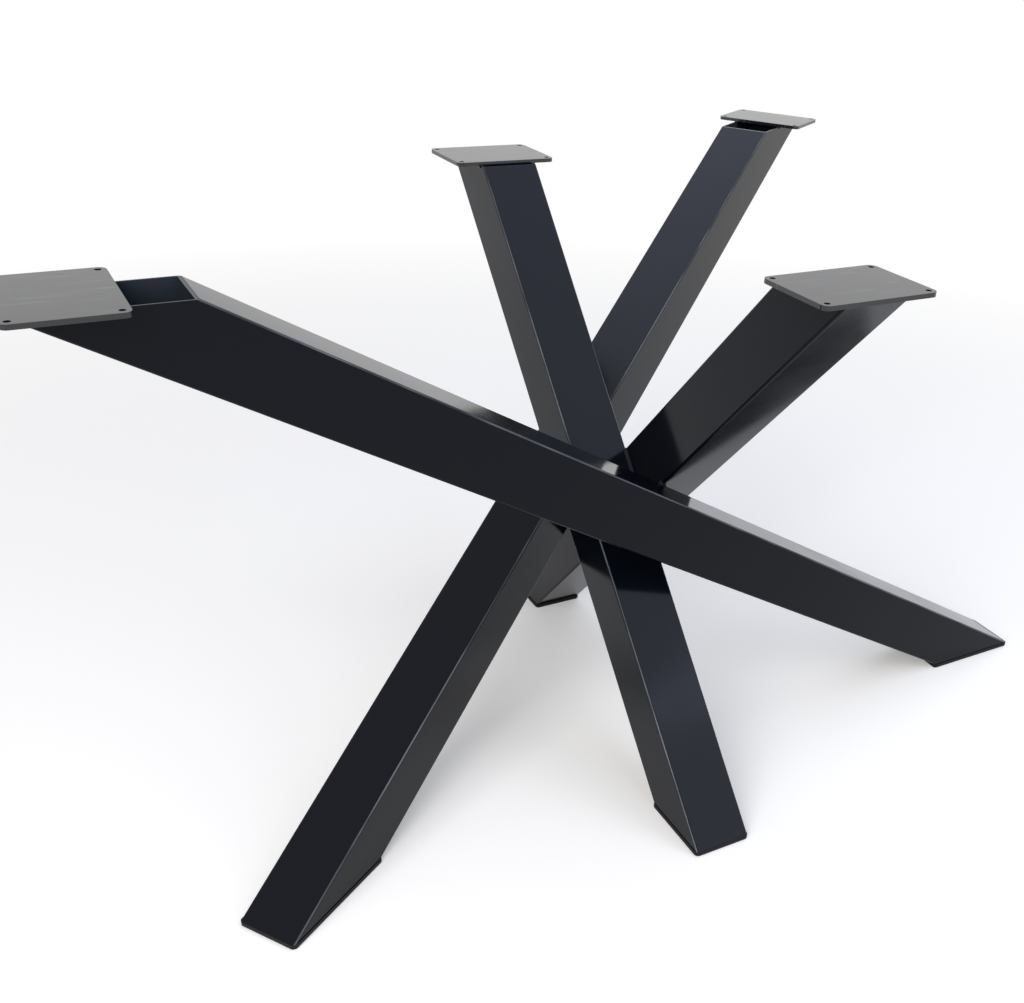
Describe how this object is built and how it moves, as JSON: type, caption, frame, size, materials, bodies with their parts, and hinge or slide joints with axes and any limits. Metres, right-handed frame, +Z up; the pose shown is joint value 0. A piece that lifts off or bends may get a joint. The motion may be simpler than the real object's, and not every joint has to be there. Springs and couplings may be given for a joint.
{
  "type": "spider table base",
  "caption": "Table base of straight square tubes that slope across each other and are welded where they touch, with screw plates on top and flat caps underneath.",
  "frame": {"origin": "middle of the bounding box in plan, on the floor", "axes": "+Z is up; +X is the plan direction in which the near long tube comes down, so it points right and away from the camera; +Y is the plan direction in which the right short tube comes down, away from the camera"},
  "size_m": [1.395, 1.0216, 0.72],
  "materials": {
    "tube_coating": "satin black powder coat",
    "plate_coating": "satin black powder coat with faint scuffs",
    "weld_coating": "satin black powder coat over weld beads",
    "foot_plastic": "matt moulded plastic"
  },
  "bodies": {
    "root": {"tube_long_front": "tube_coating", "top_plate_long_front": "plate_coating", "foot_cap_long_front": "foot_plastic", "plate_weld_long_front": "weld_coating", "tube_long_rear": "tube_coating", "top_plate_long_rear": "plate_coating", "foot_cap_long_rear": "foot_plastic", "plate_weld_long_rear": "weld_coating", "tube_short_left": "tube_coating", "top_plate_short_left": "plate_coating", "foot_cap_short_left": "foot_plastic", "plate_weld_short_left": "weld_coating", "tube_short_right": "tube_coating", "top_plate_short_right": "plate_coating", "foot_cap_short_right": "foot_plastic", "plate_weld_short_right": "weld_coating", "crossing_weld_front_left": "weld_coating", "crossing_weld_front_right": "weld_coating", "crossing_weld_rear_left": "weld_coating", "crossing_weld_rear_right": "weld_coating", "pair_weld_short_left_upper": "weld_coating", "pair_weld_short_left_lower": "weld_coating", "pair_weld_short_right_upper": "weld_coating", "pair_weld_short_right_lower": "weld_coating"}
  },
  "joints": []
}
